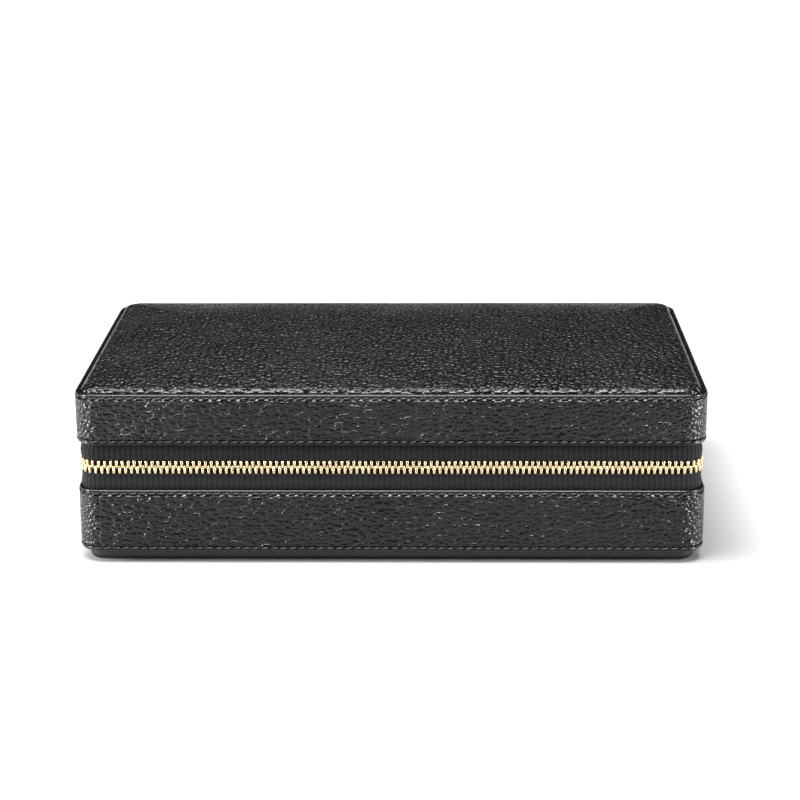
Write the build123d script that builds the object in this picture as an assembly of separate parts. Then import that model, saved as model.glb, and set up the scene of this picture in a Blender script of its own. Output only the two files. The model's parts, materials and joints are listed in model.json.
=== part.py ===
"""A zip-round leather jewellery case: a lid and a base of leather over board, joined by a leather strip
along the back and closed by a brass zip that runs round the front and both sides.

Frame: millimetres, +Z up, +X to the right, the front of the case towards -Y.
Origin: the middle of the flat underside that the case rests on.
"""

import os
from math import pi

from build123d import *

# ---- Driving dimensions: the outside ----
CASE_WIDTH = 220.0
CASE_DEPTH = 132.0
CORNER_RADIUS = 8.5

BOTTOM_PANEL_HEIGHT = 4.2
BOTTOM_PANEL_INSET = 3.0
BOTTOM_PANEL_ROUND = 2.2
BASE_BAND_HEIGHT = 22.8
ZIP_GAP_HEIGHT = 16.2
LID_BAND_HEIGHT = 18.4
RIM_RISE = 1.6  # how far the lid's band stands above the lid's board
CUSHION_RISE = 1.4  # how far the padded top stands above that rim

# ---- Driving dimensions: the layers of a wall, from the outside in ----
BAND_THICKNESS = 1.5
BOARD_THICKNESS = 2.4
LINING_THICKNESS = 1.0
BAND_EDGE_ROUND = 0.45

# ---- Driving dimensions: the padded top ----
CUSHION_LEATHER = 1.1
CUSHION_GROOVE = 0.25
CUSHION_EDGE_ROUND = 1.3

# ---- Driving dimensions: the zip ----
TAPE_THICKNESS = 0.7
TAPE_TUCK = 5.0  # how far a tape reaches under a band
TOOTH_PITCH = 2.07
TOOTH_WIDTH = 0.86
TOOTH_DEPTH = 2.2
TOOTH_HEEL = 2.35  # from the middle of the chain to a tooth's back
TOOTH_HEAD = 0.65  # how far a tooth's head passes the middle of the chain
TOOTH_SHANK = 0.95  # from the middle of the chain to the edge of the tape
HEAD_DEPTH = 1.5
TOOTH_GRIP_PLAY = 0.03
ZIP_END_FROM_BACK = 10.0
STOP_LENGTH = 1.8
SLIDER_TO_STOP = 0.3

# ---- Driving dimensions: the slider and its pull ----
SLIDER_LENGTH = 10.0
SLIDER_HEIGHT = 8.6
SLIDER_PLATE = 1.0
SLIDER_BACK_PLATE = 0.6
SLIDER_FLANGE = 0.8
SLIDER_PLAY = 0.15
SLIDER_SLOT = 1.1
DIAMOND_LENGTH = 3.4
DIAMOND_HEIGHT = 1.7
DIAMOND_FROM_END = 0.4
BRIDGE_WIDTH = 2.6
BRIDGE_LENGTH = 6.2
BRIDGE_WALL = 0.8
LOOP_WIRE = 1.2
LOOP_WIDTH = 8.4
LOOP_LENGTH = 6.5
LOOP_PLAY = 0.15
TAB_WIDTH = 5.4
TAB_LENGTH = 22.0
TAB_THICKNESS = 2.0
TAB_CORNER = 1.8
TAB_WRAP = 0.9
TAB_PLAY = 0.02

# ---- Driving dimensions: the leather strip along the back ----
HINGE_THICKNESS = 1.0
HINGE_GAP = 0.3  # between the strip's ends and the ends of the zip tapes

# ---- Driving dimensions: inside the base ----
RING_ROLLS = 7
RING_ROLL_LENGTH = 72.0
RING_ROLL_GAP = 0.25
RING_ROLL_END_ROOM = 1.5  # the rolls stand off the lining, clear of its rounded corners
RING_ROLL_SIDE_ROOM = 1.0
DIVIDER_THICKNESS = 2.4
DIVIDER_HEIGHT = 22.0
CROSS_DIVIDER_Y = 4.0
CELLS = 3
FIT = 0.1

# ---- Driving dimensions: inside the lid ----
MIRROR_FRAME_WIDTH = 74.0
MIRROR_END_ROOM = 5.1  # from the mirror's frame to the lining at its front and back
MIRROR_FRAME_THICKNESS = 3.0
MIRROR_BORDER = 5.0
MIRROR_THICKNESS = 1.8
MIRROR_RECESS = 2.2
MIRROR_MARGIN = 6.0  # from the mirror's frame to the lining on its right
PANEL_MARGIN = 4.0  # from the pocket and the rail to the lining on their left
PANEL_TO_MIRROR = 7.0
RAIL_DEPTH = 12.0
RAIL_THICKNESS = 3.2
RAIL_FROM_FRONT = 5.0
HOOKS = 4
HOOK_WIRE = 1.6
HOOK_REACH = 6.5
HOOK_TIP = 6.0
HOOK_BEND = 2.0
POCKET_LENGTH = 56.0
POCKET_DEPTH = 8.0
POCKET_WALL = 1.2
POCKET_FROM_BACK = 3.0
ELASTIC_WIDTH = 6.0
ELASTIC_THICKNESS = 1.0

# ---- Clearance between the lid and the base when the case is shut ----
LID_CLEARANCE = 0.4

# ---- Heights worked out from these ----
BASE_BAND_TOP = BOTTOM_PANEL_HEIGHT + BASE_BAND_HEIGHT
MIDDLE = BASE_BAND_TOP + ZIP_GAP_HEIGHT / 2
LID_BAND_BOTTOM = BASE_BAND_TOP + ZIP_GAP_HEIGHT
RIM_TOP = LID_BAND_BOTTOM + LID_BAND_HEIGHT
LID_BOARD_TOP = RIM_TOP - RIM_RISE
CUSHION_TOP = RIM_TOP + CUSHION_RISE
SLIDER_ROOM = SLIDER_HEIGHT / 2 + 0.6  # the boards stop this far from the middle, to let the slider by

# ---- Insets from the outer face of the case ----
BOARD_INSET = BAND_THICKNESS
LINING_INSET = BOARD_INSET + BOARD_THICKNESS
ROOM_INSET = LINING_INSET + LINING_THICKNESS
TAPE_MIDDLE = BOARD_INSET + TAPE_THICKNESS / 2

BASE_FLOOR = BOTTOM_PANEL_HEIGHT + BOARD_THICKNESS + LINING_THICKNESS
LID_CEILING = LID_BOARD_TOP - BOARD_THICKNESS - LINING_THICKNESS
ROOM_HALF_WIDTH = CASE_WIDTH / 2 - ROOM_INSET
ROOM_HALF_DEPTH = CASE_DEPTH / 2 - ROOM_INSET

# ---- The zip's middle line: straight down the left side, round the front, and up the right side ----
CHAIN_RADIUS = CORNER_RADIUS - TAPE_MIDDLE
CHAIN_X = CASE_WIDTH / 2 - TAPE_MIDDLE
CHAIN_Y = CASE_DEPTH / 2 - TAPE_MIDDLE
ZIP_END_Y = CASE_DEPTH / 2 - ZIP_END_FROM_BACK
SIDE_STRAIGHT_END = CASE_DEPTH / 2 - CORNER_RADIUS
FRONT_RUN = CASE_WIDTH - 2 * CORNER_RADIUS
CORNER_RUN = CHAIN_RADIUS * pi / 2
STOP_Y = ZIP_END_Y - STOP_LENGTH
SLIDER_Y = STOP_Y - STOP_LENGTH / 2 - SLIDER_LENGTH / 2 - SLIDER_TO_STOP


def slab(inset, low, high):
    """The case's rounded outline, drawn in by an inset, between two heights."""
    outline = RectangleRounded(CASE_WIDTH - 2 * inset, CASE_DEPTH - 2 * inset, CORNER_RADIUS - inset)
    return Pos(0, 0, low) * extrude(outline, high - low)


def wall(outer_inset, inner_inset, low, high):
    """A closed wall that follows the case's outline."""
    return slab(outer_inset, low, high) - slab(inner_inset, low, high)


def block(x_low, x_high, y_low, y_high, z_low, z_high):
    """A box between two corners."""
    size = (x_high - x_low, y_high - y_low, z_high - z_low)
    return Pos((x_low + x_high) / 2, (y_low + y_high) / 2, (z_low + z_high) / 2) * Box(*size)


def behind(y):
    """Everything behind a line across the case."""
    return block(-CASE_WIDTH, CASE_WIDTH, y, CASE_DEPTH, -CASE_DEPTH, CASE_DEPTH)


def edges_at(shape, height):
    """The edges that lie flat at one height."""
    return shape.edges().filter_by(lambda e: abs(e.bounding_box().min.Z - height) < 1e-4
                                   and abs(e.bounding_box().max.Z - height) < 1e-4)


# ---- The leather-covered shells ----
def bottom_panel():
    panel = slab(BOTTOM_PANEL_INSET, 0, BOTTOM_PANEL_HEIGHT)
    return fillet(edges_at(panel, 0), BOTTOM_PANEL_ROUND)


def band(low, high):
    """A leather strip sewn round the case, with both of its outer edges rounded."""
    outside = slab(0, low, high)
    outside = fillet(edges_at(outside, low) + edges_at(outside, high), BAND_EDGE_ROUND)
    return outside - slab(BAND_THICKNESS, low, high)


def base_board():
    top = MIDDLE - SLIDER_ROOM
    tray = slab(BOARD_INSET, BOTTOM_PANEL_HEIGHT, top)
    tray -= slab(LINING_INSET, BOTTOM_PANEL_HEIGHT + BOARD_THICKNESS, top)
    return tray - wall(0, BOARD_INSET + HINGE_THICKNESS, BASE_BAND_TOP - TAPE_TUCK, top)


def lid_board():
    low = MIDDLE + SLIDER_ROOM
    tray = slab(BOARD_INSET, low, LID_BOARD_TOP)
    tray -= slab(LINING_INSET, low, LID_BOARD_TOP - BOARD_THICKNESS)
    return tray - wall(0, BOARD_INSET + HINGE_THICKNESS, low, LID_BAND_BOTTOM + TAPE_TUCK)


def base_lining():
    top = MIDDLE - LID_CLEARANCE / 2
    return slab(LINING_INSET, BASE_FLOOR - LINING_THICKNESS, top) - slab(ROOM_INSET, BASE_FLOOR, top)


def lid_lining():
    low = MIDDLE + LID_CLEARANCE / 2
    return slab(LINING_INSET, low, LID_CEILING + LINING_THICKNESS) - slab(ROOM_INSET, low, LID_CEILING)


def cushion(inset, top, edge_round):
    """The padded top's shape, with a rounded upper edge."""
    shape = slab(inset, LID_BOARD_TOP, top)
    return fillet(edges_at(shape, top), edge_round)


def top_foam():
    inset = BAND_THICKNESS + CUSHION_GROOVE + CUSHION_LEATHER
    return cushion(inset, CUSHION_TOP - CUSHION_LEATHER, CUSHION_EDGE_ROUND - CUSHION_LEATHER / 2)


def top_leather():
    return cushion(BAND_THICKNESS + CUSHION_GROOVE, CUSHION_TOP, CUSHION_EDGE_ROUND) - top_foam()


# ---- The zip and the strip along the back ----
def base_tape():
    tape = wall(BOARD_INSET, BOARD_INSET + TAPE_THICKNESS, BASE_BAND_TOP - TAPE_TUCK, MIDDLE - TOOTH_SHANK)
    return tape - behind(ZIP_END_Y)


def lid_tape():
    top = LID_BAND_BOTTOM + TAPE_TUCK
    tape = wall(BOARD_INSET, BOARD_INSET + TAPE_THICKNESS, MIDDLE + TOOTH_SHANK, top)
    return tape - behind(ZIP_END_Y)


def back_hinge():
    low, high = BASE_BAND_TOP - TAPE_TUCK, LID_BAND_BOTTOM + TAPE_TUCK
    return wall(BOARD_INSET, BOARD_INSET + HINGE_THICKNESS, low, high) & behind(ZIP_END_Y + HINGE_GAP)


def chain_place(run):
    """Where the zip's middle line is after a run from the back of its left side, and which way it faces."""
    side_run = SIDE_STRAIGHT_END + STOP_Y
    front_start = side_run + CORNER_RUN
    front_end = front_start + FRONT_RUN
    if run < side_run:
        return Pos(-CHAIN_X, STOP_Y - run, MIDDLE) * Rot(0, 0, -90)
    if run < front_start:
        turn = (run - side_run) / CHAIN_RADIUS * 180 / pi
        middle = Pos(-CASE_WIDTH / 2 + CORNER_RADIUS, -SIDE_STRAIGHT_END, MIDDLE)
        return middle * Rot(0, 0, turn - 90) * Pos(0, -CHAIN_RADIUS, 0)
    if run < front_end:
        return Pos(-FRONT_RUN / 2 + run - front_start, -CHAIN_Y, MIDDLE)
    if run < front_end + CORNER_RUN:
        turn = (run - front_end) / CHAIN_RADIUS * 180 / pi
        middle = Pos(CASE_WIDTH / 2 - CORNER_RADIUS, -SIDE_STRAIGHT_END, MIDDLE)
        return middle * Rot(0, 0, turn) * Pos(0, -CHAIN_RADIUS, 0)
    return Pos(CHAIN_X, run - front_end - CORNER_RUN - SIDE_STRAIGHT_END, MIDDLE) * Rot(0, 0, 90)


def tooth():
    """One upper tooth at the chain's middle, its head down and its two legs gripping the tape."""
    head = block(-TOOTH_WIDTH / 2, TOOTH_WIDTH / 2, -HEAD_DEPTH / 2, HEAD_DEPTH / 2, -TOOTH_HEAD, TOOTH_SHANK)
    legs = block(-TOOTH_WIDTH / 2, TOOTH_WIDTH / 2, -TOOTH_DEPTH / 2, TOOTH_DEPTH / 2, TOOTH_HEAD, TOOTH_HEEL)
    grip = TAPE_THICKNESS / 2 + TOOTH_GRIP_PLAY
    slot = block(-TOOTH_WIDTH, TOOTH_WIDTH, -grip, grip, TOOTH_SHANK, TOOTH_HEEL)
    return head + legs - slot


def chain_row(upper):
    """A row of teeth, from just before the bottom stop to inside the tail of the slider."""
    first = STOP_LENGTH + TOOTH_PITCH
    slider_run = 2 * SIDE_STRAIGHT_END + STOP_Y + 2 * CORNER_RUN + FRONT_RUN + SLIDER_Y
    count = int((slider_run - first - TOOTH_PITCH / 2) / TOOTH_PITCH)
    shift = 0.0 if upper else TOOTH_PITCH / 2
    shape = tooth() if upper else Rot(0, 180, 0) * tooth()
    return Compound([chain_place(first + shift + i * TOOTH_PITCH) * shape for i in range(count)])


def stop(x, y, low, high):
    """A brass stop clamped on a tape, with the tape running through it."""
    half = TOOTH_DEPTH / 2
    body = block(x - half, x + half, y - STOP_LENGTH / 2, y + STOP_LENGTH / 2, low, high)
    tape_low = MIDDLE - TOOTH_SHANK
    tape_high = MIDDLE + TOOTH_SHANK
    slit = block(x - TAPE_THICKNESS / 2, x + TAPE_THICKNESS / 2, y - STOP_LENGTH, y + STOP_LENGTH, low, high)
    slit -= block(x - half, x + half, y - STOP_LENGTH, y + STOP_LENGTH, tape_low, tape_high)
    return body - slit


def slider():
    """The slider at the closed end: an outer and an inner plate joined by the diamond, and a bridge."""
    outer_low = TOOTH_DEPTH / 2 + SLIDER_PLAY
    outer_high = outer_low + SLIDER_PLATE
    half_length, half_height = SLIDER_LENGTH / 2, SLIDER_HEIGHT / 2
    outline = RectangleRounded(SLIDER_LENGTH, SLIDER_HEIGHT, SLIDER_HEIGHT / 4)
    body = Plane.YZ * Pos(0, 0, outer_low) * extrude(outline, SLIDER_PLATE)
    body += Plane.YZ * Pos(0, 0, -outer_low - SLIDER_BACK_PLATE) * extrude(outline, SLIDER_BACK_PLATE)
    flange_half = half_length - SLIDER_HEIGHT / 4
    for side in (-1, 1):
        low, high = sorted((side * half_height, side * (half_height - SLIDER_FLANGE)))
        body += block(SLIDER_SLOT / 2, outer_low, -flange_half, flange_half, low, high)
        body += block(-outer_low, -SLIDER_SLOT / 2, -flange_half, flange_half, low, high)
    diamond_high = half_length - DIAMOND_FROM_END
    body += block(-outer_low, outer_low, diamond_high - DIAMOND_LENGTH, diamond_high,
                  -DIAMOND_HEIGHT / 2, DIAMOND_HEIGHT / 2)
    opening = LOOP_WIRE + 2 * LOOP_PLAY
    bridge = block(outer_high, outer_high + opening + BRIDGE_WALL, -BRIDGE_LENGTH / 2, BRIDGE_LENGTH / 2,
                   -BRIDGE_WIDTH / 2, BRIDGE_WIDTH / 2)
    crown = bridge.edges().filter_by(Axis.Z).sort_by(Axis.X)[-2:]
    bridge = fillet(crown, BRIDGE_WALL)
    bridge -= block(outer_high, outer_high + opening, -BRIDGE_LENGTH / 2 + BRIDGE_WALL,
                    BRIDGE_LENGTH / 2 - BRIDGE_WALL, -BRIDGE_WIDTH, BRIDGE_WIDTH)
    return Pos(CHAIN_X, SLIDER_Y, MIDDLE) * (body + bridge)


PULL_X = CHAIN_X + TOOTH_DEPTH / 2 + SLIDER_PLAY + SLIDER_PLATE + LOOP_PLAY + LOOP_WIRE / 2


def pull_loop():
    """A closed wire loop held by the slider's bridge, its upright bar on the pull's axis."""
    half = LOOP_WIDTH / 2 - LOOP_WIRE
    outer = fillet(Rectangle(LOOP_LENGTH + LOOP_WIRE, LOOP_WIDTH).vertices(), LOOP_WIRE)
    inner = Rectangle(LOOP_LENGTH - LOOP_WIRE, LOOP_WIDTH - 2 * LOOP_WIRE)
    frame = Plane.YZ * extrude(outer - inner, LOOP_WIRE / 2, both=True)
    frame = Pos(PULL_X, SLIDER_Y - LOOP_LENGTH / 2, MIDDLE) * frame
    frame -= block(PULL_X - LOOP_WIRE, PULL_X + LOOP_WIRE, SLIDER_Y - LOOP_WIRE / 2, SLIDER_Y + LOOP_WIRE,
                   MIDDLE - half, MIDDLE + half)
    return frame + Pos(PULL_X, SLIDER_Y, MIDDLE) * Cylinder(LOOP_WIRE / 2, 2 * half)


def pull_tab():
    """The leather tab, folded round the loop's far bar."""
    bar_y = SLIDER_Y - LOOP_LENGTH
    high = bar_y + LOOP_WIRE / 2 + TAB_WRAP
    outline = RectangleRounded(TAB_LENGTH, TAB_WIDTH, TAB_CORNER)
    tab = Plane.YZ * extrude(outline, TAB_THICKNESS / 2, both=True)
    tab = Pos(PULL_X, high - TAB_LENGTH / 2, MIDDLE) * tab
    room = LOOP_WIRE / 2 + TAB_PLAY
    return tab - block(PULL_X - room, PULL_X + room, bar_y - room, bar_y + room,
                       MIDDLE - TAB_WIDTH, MIDDLE + TAB_WIDTH)


# ---- Inside the base ----
def ring_roll(number):
    """One padded roll of the ring holder, lying on the floor with its neighbours."""
    run = 2 * (ROOM_HALF_DEPTH - RING_ROLL_SIDE_ROOM)
    pitch = run / RING_ROLLS
    radius = (pitch - RING_ROLL_GAP) / 2
    y = -run / 2 + pitch * (number + 0.5)
    x = -ROOM_HALF_WIDTH + RING_ROLL_END_ROOM + RING_ROLL_LENGTH / 2
    return Pos(x, y, BASE_FLOOR + radius) * Rot(0, 90, 0) * Cylinder(radius, RING_ROLL_LENGTH)


RING_DIVIDER_LOW = -ROOM_HALF_WIDTH + RING_ROLL_END_ROOM + RING_ROLL_LENGTH + FIT
RING_DIVIDER_HIGH = RING_DIVIDER_LOW + DIVIDER_THICKNESS
DIVIDER_TOP = BASE_FLOOR + DIVIDER_HEIGHT


def ring_divider():
    return block(RING_DIVIDER_LOW, RING_DIVIDER_HIGH, -ROOM_HALF_DEPTH + FIT, ROOM_HALF_DEPTH - FIT,
                 BASE_FLOOR, DIVIDER_TOP)


def cross_divider():
    return block(RING_DIVIDER_HIGH + FIT, ROOM_HALF_WIDTH - FIT, CROSS_DIVIDER_Y - DIVIDER_THICKNESS / 2,
                 CROSS_DIVIDER_Y + DIVIDER_THICKNESS / 2, BASE_FLOOR, DIVIDER_TOP)


def cell_divider(number):
    """One of the short dividers between the small compartments at the back."""
    cell = (ROOM_HALF_WIDTH - RING_DIVIDER_HIGH - (CELLS - 1) * DIVIDER_THICKNESS) / CELLS
    x = RING_DIVIDER_HIGH + (number + 1) * cell + number * DIVIDER_THICKNESS
    return block(x, x + DIVIDER_THICKNESS, CROSS_DIVIDER_Y + DIVIDER_THICKNESS / 2 + FIT,
                 ROOM_HALF_DEPTH - FIT, BASE_FLOOR, DIVIDER_TOP)


# ---- Inside the lid ----
MIRROR_FRAME_LENGTH = 2 * (ROOM_HALF_DEPTH - MIRROR_END_ROOM)
MIRROR_X = ROOM_HALF_WIDTH - MIRROR_MARGIN - MIRROR_FRAME_WIDTH / 2
PANEL_LOW_X = -ROOM_HALF_WIDTH + PANEL_MARGIN
PANEL_HIGH_X = MIRROR_X - MIRROR_FRAME_WIDTH / 2 - PANEL_TO_MIRROR
RAIL_Y = -ROOM_HALF_DEPTH + RAIL_FROM_FRONT + RAIL_DEPTH / 2
POCKET_HIGH_Y = ROOM_HALF_DEPTH - POCKET_FROM_BACK
POCKET_LOW_Y = POCKET_HIGH_Y - POCKET_LENGTH


def mirror_frame():
    border = 2 * MIRROR_BORDER
    low = LID_CEILING - MIRROR_FRAME_THICKNESS
    frame = Pos(MIRROR_X, 0, low) * extrude(
        RectangleRounded(MIRROR_FRAME_WIDTH, MIRROR_FRAME_LENGTH, MIRROR_BORDER), MIRROR_FRAME_THICKNESS)
    recess = Rectangle(MIRROR_FRAME_WIDTH - border, MIRROR_FRAME_LENGTH - border)
    return frame - Pos(MIRROR_X, 0, low) * extrude(recess, MIRROR_RECESS)


def mirror_glass():
    border = 2 * (MIRROR_BORDER + FIT)
    back = LID_CEILING - MIRROR_FRAME_THICKNESS + MIRROR_RECESS
    glass = Rectangle(MIRROR_FRAME_WIDTH - border, MIRROR_FRAME_LENGTH - border)
    return Pos(MIRROR_X, 0, back - MIRROR_THICKNESS) * extrude(glass, MIRROR_THICKNESS)


def hook_rail():
    outline = RectangleRounded(PANEL_HIGH_X - PANEL_LOW_X, RAIL_DEPTH, RAIL_THICKNESS)
    rail = extrude(outline, RAIL_THICKNESS)
    middle_x = (PANEL_LOW_X + PANEL_HIGH_X) / 2
    return Pos(middle_x, RAIL_Y, LID_CEILING - RAIL_THICKNESS) * rail


def necklace_hook(number):
    """A bent wire hook that stands on the rail, its tip towards the front of the case."""
    spacing = (PANEL_HIGH_X - PANEL_LOW_X) / HOOKS
    x = PANEL_LOW_X + spacing * (number + 0.5)
    root = LID_CEILING - RAIL_THICKNESS
    low = root - HOOK_REACH
    path = FilletPolyline((x, RAIL_Y, root), (x, RAIL_Y, low), (x, RAIL_Y - HOOK_TIP, low), radius=HOOK_BEND)
    wire = Pos(x, RAIL_Y, root) * Circle(HOOK_WIRE / 2)
    return sweep(wire, path)


def pocket():
    """The lid's pocket, shut on three sides and open towards the front."""
    low = LID_CEILING - POCKET_DEPTH
    body = block(PANEL_LOW_X, PANEL_HIGH_X, POCKET_LOW_Y, POCKET_HIGH_Y, low, LID_CEILING)
    upright = body.edges().filter_by(Axis.Z).sort_by(Axis.Y)[-2:]
    body = fillet(upright, POCKET_DEPTH / 2)
    room = block(PANEL_LOW_X + POCKET_WALL, PANEL_HIGH_X - POCKET_WALL, POCKET_LOW_Y - POCKET_WALL,
                 POCKET_HIGH_Y - POCKET_WALL, low + POCKET_WALL, LID_CEILING)
    inner = room.edges().filter_by(Axis.Z).sort_by(Axis.Y)[-2:]
    return body - fillet(inner, POCKET_DEPTH / 2 - POCKET_WALL)


def pocket_elastic():
    high = LID_CEILING - POCKET_DEPTH
    return block(PANEL_LOW_X, PANEL_HIGH_X, POCKET_LOW_Y, POCKET_LOW_Y + ELASTIC_WIDTH,
                 high - ELASTIC_THICKNESS, high)


def pieces():
    """Every piece of the case by name."""
    heel_low, heel_high = MIDDLE - TOOTH_HEEL, MIDDLE + TOOTH_HEEL
    split = TOOTH_HEAD / 2
    made = {
        "bottom_panel": bottom_panel(),
        "base_board": base_board(),
        "base_band": band(BOTTOM_PANEL_HEIGHT, BASE_BAND_TOP),
        "base_lining": base_lining(),
        "base_zip_tape": base_tape(),
        "base_zip_teeth": chain_row(upper=False),
        "base_zip_end_stop": stop(CHAIN_X, STOP_Y, heel_low, MIDDLE - split),
        "zip_bottom_stop": stop(-CHAIN_X, STOP_Y, heel_low, heel_high),
        "back_hinge": back_hinge(),
        "ring_divider": ring_divider(),
        "cross_divider": cross_divider(),
        "lid_board": lid_board(),
        "lid_band": band(LID_BAND_BOTTOM, RIM_TOP),
        "lid_lining": lid_lining(),
        "lid_top_foam": top_foam(),
        "lid_top_leather": top_leather(),
        "lid_zip_tape": lid_tape(),
        "lid_zip_teeth": chain_row(upper=True),
        "lid_zip_end_stop": stop(CHAIN_X, STOP_Y, MIDDLE + split, heel_high),
        "mirror_frame": mirror_frame(),
        "mirror_glass": mirror_glass(),
        "hook_rail": hook_rail(),
        "lid_pocket": pocket(),
        "pocket_elastic": pocket_elastic(),
        "zip_slider": slider(),
        "pull_loop": pull_loop(),
        "pull_tab": pull_tab(),
    }
    made |= {f"ring_roll_{n + 1}": ring_roll(n) for n in range(RING_ROLLS)}
    made |= {f"cell_divider_{n + 1}": cell_divider(n) for n in range(CELLS - 1)}
    made |= {f"necklace_hook_{n + 1}": necklace_hook(n) for n in range(HOOKS)}
    return made


if __name__ == "__main__":
    os.makedirs("parts", exist_ok=True)
    for name, shape in pieces().items():
        export_step(shape, f"parts/{name}.step")
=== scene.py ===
# %% [markdown]
# # A zip-round leather jewellery case
# The case is a shallow box of board covered in grained leather. A padded panel is let into the lid, a strip of
# leather is sewn round the lid and another round the base, and a brass zip joins the two on three sides.
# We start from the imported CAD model, which fixes every size and every joint, and dress it piece by piece:
# each piece here is a surface worked out with numpy, in metres, in the same frame as the CAD.

# %% Load the fixed frame
import json
import math

import bmesh
import bpy
import numpy as np
from mathutils import Matrix, Vector

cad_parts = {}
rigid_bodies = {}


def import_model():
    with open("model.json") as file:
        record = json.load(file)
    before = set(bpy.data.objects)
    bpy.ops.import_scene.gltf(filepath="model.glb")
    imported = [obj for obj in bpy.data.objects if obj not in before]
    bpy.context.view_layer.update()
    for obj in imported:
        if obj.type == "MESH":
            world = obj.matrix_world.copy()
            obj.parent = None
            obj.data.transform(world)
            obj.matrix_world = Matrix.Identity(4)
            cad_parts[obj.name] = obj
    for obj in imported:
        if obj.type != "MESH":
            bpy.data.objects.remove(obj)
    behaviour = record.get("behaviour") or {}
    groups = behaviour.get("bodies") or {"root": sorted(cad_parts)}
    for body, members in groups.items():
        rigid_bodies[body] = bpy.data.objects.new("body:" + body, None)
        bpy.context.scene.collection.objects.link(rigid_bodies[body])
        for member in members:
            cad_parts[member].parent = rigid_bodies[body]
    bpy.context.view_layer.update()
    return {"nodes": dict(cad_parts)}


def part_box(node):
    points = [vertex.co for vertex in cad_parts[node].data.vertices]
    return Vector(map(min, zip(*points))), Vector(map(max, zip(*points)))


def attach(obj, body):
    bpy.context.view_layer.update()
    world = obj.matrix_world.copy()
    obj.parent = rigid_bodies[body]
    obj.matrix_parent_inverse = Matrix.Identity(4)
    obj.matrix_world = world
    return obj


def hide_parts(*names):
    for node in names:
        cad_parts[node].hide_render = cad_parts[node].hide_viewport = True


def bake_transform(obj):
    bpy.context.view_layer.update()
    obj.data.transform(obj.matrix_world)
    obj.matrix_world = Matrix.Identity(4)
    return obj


bpy.ops.object.select_all(action="SELECT")
bpy.ops.object.delete()
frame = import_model()
MM = 0.001


# %% [markdown]
# ## Sizes
# The pieces take their places from the CAD nodes. A node's box gives its lowest and highest corner, so the
# lid's band says how wide and deep the case is and where the lid begins and ends. Only the roundness of the
# case's corners can't be read from a box, so it is named here.

# %% Sizes taken from the CAD nodes
def low_high(node):
    """The lowest and highest corner of a CAD node as two arrays."""
    low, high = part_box(node)
    return np.array(low), np.array(high)


LID_LOW, LID_HIGH = low_high("lid_band")
BASE_LOW, BASE_HIGH = low_high("base_band")
HALF_WIDTH, HALF_DEPTH = LID_HIGH[0], LID_HIGH[1]
CORNER = 8.5 * MM
MIDDLE_Z = (BASE_HIGH[2] + LID_LOW[2]) / 2
BAND = 1.5 * MM
print(f"case {2e3 * HALF_WIDTH:.0f} x {2e3 * HALF_DEPTH:.0f} mm, zip at {MIDDLE_Z / MM:.1f} mm")


# %% [markdown]
# ## The way round the case
# Nearly every leather piece follows the same line: a rectangle with rounded corners. Turning the line into one
# function of the distance along it lets a whole band, a row of stitches or a row of zip teeth be worked out at
# once. The line is a sum of straights and quarter turns: each one adds its share once the distance passes it.

# %% The outline as a function of distance
STRAIGHT_X, STRAIGHT_Y = 2 * (HALF_WIDTH - CORNER), 2 * (HALF_DEPTH - CORNER)
TURN = CORNER * np.pi / 2
SIDES = np.array([STRAIGHT_X, STRAIGHT_Y, STRAIGHT_X, STRAIGHT_Y])
HEADINGS = np.array([[1, 0], [0, 1], [-1, 0], [0, -1]], float)
SIDE_STARTS = np.concatenate([[0], np.cumsum(SIDES + TURN)[:-1]])
ROUND = float(np.sum(SIDES + TURN))
BACK_START = STRAIGHT_X + TURN + STRAIGHT_Y + TURN


def outline(along):
    """Points and outward directions at distances along the rounded rectangle, from the front's left end
    anticlockwise. point = corner centre + corner radius * outward; the corner centre moves only on straights,
    and the outward direction turns only on corners."""
    along = np.mod(np.asarray(along, float), ROUND)
    run = np.clip(along[:, None] - SIDE_STARTS, 0, SIDES)
    turned = np.clip(along[:, None] - SIDE_STARTS - SIDES, 0, TURN).sum(1) / CORNER
    outward = np.stack([np.sin(turned), -np.cos(turned)], 1)
    centre = np.array([-STRAIGHT_X / 2, -STRAIGHT_Y / 2]) + run @ HEADINGS
    return centre + CORNER * outward, outward


def stations(step):
    """Distances all the way round, evenly spaced on each straight and each corner, and the same on opposite
    sides, so that a panel's rings can meet on its middle line."""
    parts = []
    for start, side in zip(SIDE_STARTS, SIDES):
        parts.append(start + np.linspace(0, side, max(2, round(side / step)), endpoint=False))
        parts.append(start + side + np.linspace(0, TURN, max(8, round(TURN / step)), endpoint=False))
    return np.concatenate(parts)


def carried(profile, along):
    """A profile of (inset, height) carried along the outline: point = outline - inset * outward, then height.
    The profile may also be one per station, as an array of stations x points x 2."""
    profile = np.broadcast_to(profile, (len(along),) + np.shape(profile)[-2:])
    place, outward = outline(along)
    flat = place[:, None, :] - profile[..., :1] * outward[:, None, :]
    return np.concatenate([flat, profile[..., 1:]], 2)


print(f"{ROUND / MM:.0f} mm round the case")


# %% [markdown]
# ## From grids of points to meshes
# A surface is a grid of points, one row for each step in one direction and one column for each step in the
# other. Four neighbours make a face. A grid may close on itself one way or both ways, and a tube's open ends
# take a cap.

# %% Mesh helpers
def grid_faces(rows, columns, close_rows=False, close_columns=False):
    """Faces between neighbours of a grid: (i, j), (i+1, j), (i+1, j+1), (i, j+1)."""
    i = np.arange(rows if close_rows else rows - 1)[:, None]
    j = np.arange(columns if close_columns else columns - 1)[None, :]
    i_next, j_next = (i + 1) % rows, (j + 1) % columns
    corners = [i * columns + j, i_next * columns + j, i_next * columns + j_next, i * columns + j_next]
    return np.stack([c + 0 * (i + j) for c in corners], -1).reshape(-1, 4)


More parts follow.
